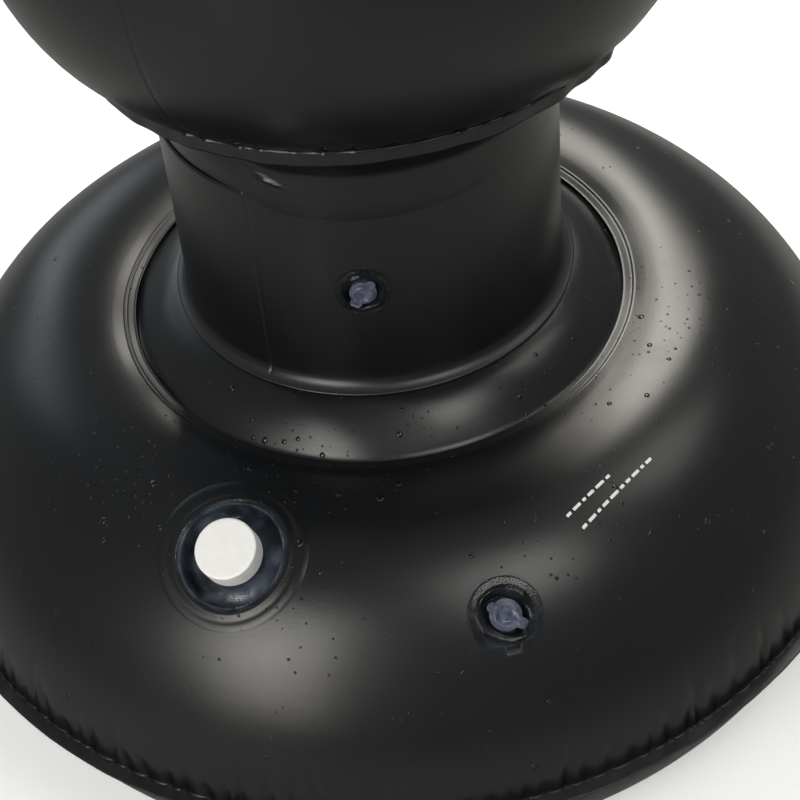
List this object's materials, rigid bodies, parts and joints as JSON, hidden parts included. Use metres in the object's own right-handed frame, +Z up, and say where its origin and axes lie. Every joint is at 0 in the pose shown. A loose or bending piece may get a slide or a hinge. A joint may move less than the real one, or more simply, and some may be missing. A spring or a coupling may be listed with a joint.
{
  "type": "inflatable grappling dummy",
  "caption": "Free-standing inflatable dummy: head and torso on a round column above a wide, low, water-filled base cushion with filler cap and air valves.",
  "frame": {"origin": "centre of the footprint on the floor, under the column's axis", "axes": "+Z up; the filler cap and both valves face -Y (front); +X is to the right seen from the front"},
  "size_m": [0.6, 0.6, 1.6],
  "materials": {
    "black_vinyl": "satin welded vinyl sheet",
    "inner_web": "satin vinyl sheet",
    "clear_vinyl": "clear bluish moulded vinyl",
    "white_plastic": "satin moulded polythene",
    "foam_liner": "matt foam"
  },
  "bodies": {
    "base": {"base_bottom_skin": "black_vinyl", "base_top_skin": "black_vinyl", "base_top_disc": "black_vinyl", "base_tie_web": "inner_web", "filler_well": "clear_vinyl", "filler_neck": "clear_vinyl", "base_valve_flange": "clear_vinyl"},
    "cap_seal": {"cap_liner": "foam_liner"},
    "cap": {"filler_cap": "white_plastic"},
    "base_valve": {"base_valve_stem": "clear_vinyl"},
    "base_plug": {"base_valve_plug": "clear_vinyl"},
    "base_flap": {"base_valve_flap": "clear_vinyl"},
    "column": {"column_skin": "black_vinyl", "column_valve_flange": "clear_vinyl"},
    "column_valve": {"column_valve_stem": "clear_vinyl"},
    "column_plug": {"column_valve_plug": "clear_vinyl"},
    "column_flap": {"column_valve_flap": "clear_vinyl"},
    "torso": {"torso_bottom_panel": "black_vinyl", "torso_side_skin": "black_vinyl", "shoulder_panel": "black_vinyl", "neck_skin": "black_vinyl"},
    "head": {"head_front_panel": "black_vinyl", "head_back_panel": "black_vinyl"}
  },
  "joints": [
    {"name": "column_lean", "type": "hinge", "parent": "base", "child": "column", "pos_m": [0, 0, 0.235], "axis": [1, 0, 0], "range_deg": [-10, 10], "stiffness_Nm_per_rad": 150, "deforming": ["base_top_disc"]},
    {"name": "waist_lean", "type": "hinge", "parent": "column", "child": "torso", "pos_m": [0, 0, 0.39], "axis": [0, 1, 0], "range_deg": [-15, 15], "stiffness_Nm_per_rad": 120, "deforming": ["torso_bottom_panel"]},
    {"name": "head_nod", "type": "hinge", "parent": "torso", "child": "head", "pos_m": [0.0047, 0.0035, 1.29], "axis": [1, 0, 0], "range_deg": [-20, 25], "stiffness_Nm_per_rad": 8, "deforming": ["neck_skin"]},
    {"name": "cap_lift", "type": "slide", "parent": "base", "child": "cap_seal", "axis": [-0.1846, -0.3802, 0.9063], "range_m": [0, 0.014]},
    {"name": "cap_spin", "type": "hinge", "parent": "cap_seal", "child": "cap", "pos_m": [-0.09391, -0.1934, 0.20714], "axis": [-0.1846, -0.3802, 0.9063], "range_deg": [0, 1261]},
    {"name": "base_valve_pull", "type": "slide", "parent": "base", "child": "base_valve", "axis": [0.1326, -0.6758, 0.7251], "range_m": [0, 0.01]},
    {"name": "base_plug_open", "type": "hinge", "parent": "base_valve", "child": "base_plug", "pos_m": [0.05713, -0.24339, 0.1809], "axis": [0.5384, 0.6633, 0.5197], "range_deg": [0, 150]},
    {"name": "base_flap_open", "type": "hinge", "parent": "base_valve", "child": "base_flap", "pos_m": [0.03776, -0.22245, 0.17425], "axis": [0.5384, 0.6633, 0.5197], "range_deg": [0, 60]},
    {"name": "column_valve_pull", "type": "slide", "parent": "column", "child": "column_valve", "axis": [-0.075, -0.9972, 0], "range_m": [0, 0.01]},
    {"name": "column_plug_open", "type": "hinge", "parent": "column_valve", "child": "column_plug", "pos_m": [-0.01374, -0.11078, 0.2967], "axis": [0.8363, -0.0629, -0.5446], "range_deg": [0, 150]},
    {"name": "column_flap_open", "type": "hinge", "parent": "column_valve", "child": "column_flap", "pos_m": [-0.00322, -0.09297, 0.31079], "axis": [0.8363, -0.0629, -0.5446], "range_deg": [0, 60]}
  ],
  "couplings": [
    {"joint": "cap_spin", "follows": "cap_lift", "rad_per_m": 1570.8}
  ]
}
